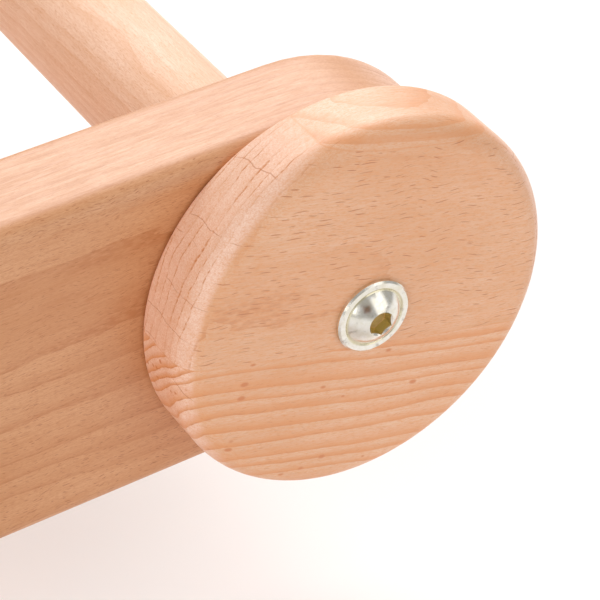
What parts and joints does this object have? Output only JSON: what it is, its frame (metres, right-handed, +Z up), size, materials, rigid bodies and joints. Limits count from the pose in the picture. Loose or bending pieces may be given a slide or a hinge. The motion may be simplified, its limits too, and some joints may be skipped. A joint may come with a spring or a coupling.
{
  "type": "table loom",
  "caption": "Beech table loom: two side rails with round ends carry a cloth beam and a warp beam with hand wheels, ratchets and pawls, and a slotted heddle that lifts in two stands.",
  "frame": {"origin": "centre of the footprint, on the surface the loom stands on", "axes": "+X to the weaver's right along the beams, +Y from the cloth beam to the warp beam, +Z up"},
  "size_m": [0.5544, 0.61, 0.1895],
  "materials": {
    "beech_rail": "sanded and oiled, pinkish tan with fine brown flecks",
    "beech_handwheel": "edge-glued staves, sanded, with ray flecks and end grain on the rim",
    "beech_beam": "turned smooth, pale pink",
    "beech_board": "sanded and oiled",
    "beech_trim": "planed smooth",
    "plywood": "birch plywood with visible layers at the edges",
    "reed_plastic": "moulded, off-white",
    "rubber_pad": "matte black",
    "zinc_bolts": "bright zinc plating with a slight yellow tint",
    "zinc_hardware": "zinc plated"
  },
  "bodies": {
    "frame": {"back_stretcher": "beech_board", "front_stretcher": "beech_board", "left_heddle_stand": "beech_board", "left_side_rail": "beech_rail", "leg_back_left": "beech_board", "leg_back_right": "beech_board", "leg_front_left": "beech_board", "leg_front_right": "beech_board", "leg_hanger_bolts": "zinc_hardware", "leg_pads": "rubber_pad", "pawl_pivot_bolts": "zinc_bolts", "pawl_washers": "zinc_bolts", "right_heddle_stand": "beech_board", "right_side_rail": "beech_rail", "stand_screws": "zinc_hardware", "stretcher_barrel_nuts": "zinc_hardware", "stretcher_bolts": "zinc_bolts"},
    "cloth_beam_unit": {"cloth_beam": "beech_beam", "cloth_beam_bolts": "zinc_bolts", "cloth_beam_inserts": "zinc_hardware", "cloth_clamp_screws": "zinc_hardware", "cloth_clamp_strip": "beech_trim", "cloth_handwheel_left": "beech_handwheel", "cloth_handwheel_right": "beech_handwheel", "cloth_ratchet_pin": "zinc_hardware", "cloth_ratchet_wheel": "plywood"},
    "warp_beam_unit": {"warp_beam": "beech_beam", "warp_beam_bolts": "zinc_bolts", "warp_beam_inserts": "zinc_hardware", "warp_clamp_screws": "zinc_hardware", "warp_clamp_strip": "beech_trim", "warp_handwheel_left": "beech_handwheel", "warp_handwheel_right": "beech_handwheel", "warp_ratchet_pin": "zinc_hardware", "warp_ratchet_wheel": "plywood"},
    "cloth_pawl": {"cloth_pawl": "plywood"},
    "warp_pawl": {"warp_pawl": "plywood"},
    "heddle": {"heddle_bottom_bar": "beech_trim", "heddle_end_left": "beech_trim", "heddle_end_right": "beech_trim", "heddle_reed_1": "reed_plastic", "heddle_reed_2": "reed_plastic", "heddle_reed_3": "reed_plastic", "heddle_reed_4": "reed_plastic", "heddle_screws": "zinc_hardware", "heddle_top_bar": "beech_trim"}
  },
  "joints": [
    {"name": "cloth_beam_turn", "type": "hinge", "parent": "frame", "child": "cloth_beam_unit", "pos_m": [0, -0.26, 0.0925], "axis": [1, 0, 0], "continuous": true},
    {"name": "warp_beam_turn", "type": "hinge", "parent": "frame", "child": "warp_beam_unit", "pos_m": [0, 0.26, 0.0925], "axis": [1, 0, 0], "continuous": true},
    {"name": "cloth_pawl_lift", "type": "hinge", "parent": "frame", "child": "cloth_pawl", "pos_m": [0.223, -0.208, 0.0945], "axis": [-1, 0, 0], "range_deg": [0, 40]},
    {"name": "warp_pawl_lift", "type": "hinge", "parent": "frame", "child": "warp_pawl", "pos_m": [-0.223, 0.208, 0.0945], "axis": [1, 0, 0], "range_deg": [0, 40]},
    {"name": "heddle_lift", "type": "slide", "parent": "frame", "child": "heddle", "axis": [0, 0, 1], "range_m": [0, 0.056]}
  ]
}
